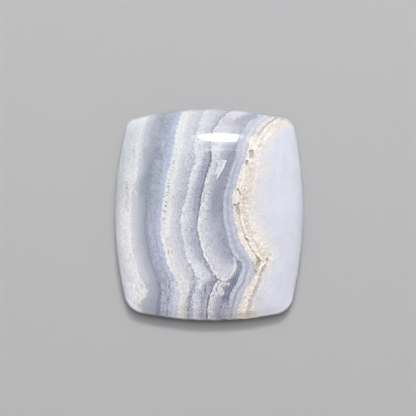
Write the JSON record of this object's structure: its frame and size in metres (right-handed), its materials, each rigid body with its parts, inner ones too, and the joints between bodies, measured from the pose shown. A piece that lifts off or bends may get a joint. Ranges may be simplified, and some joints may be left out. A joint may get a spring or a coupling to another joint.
{
  "type": "blue lace agate cabochon",
  "caption": "Cushion-shaped agate cabochon with a low polished dome, a flat back and blue, lavender, white and cream bands.",
  "frame": {"origin": "middle of the flat back", "axes": "+Z out of the domed face, +Y along the bands to the stone's upper end, +X to the side of the pale field"},
  "size_m": [0.025, 0.028, 0.0056],
  "materials": {
    "agate": "polished"
  },
  "bodies": {
    "root": {"cabochon": "agate"}
  },
  "joints": []
}
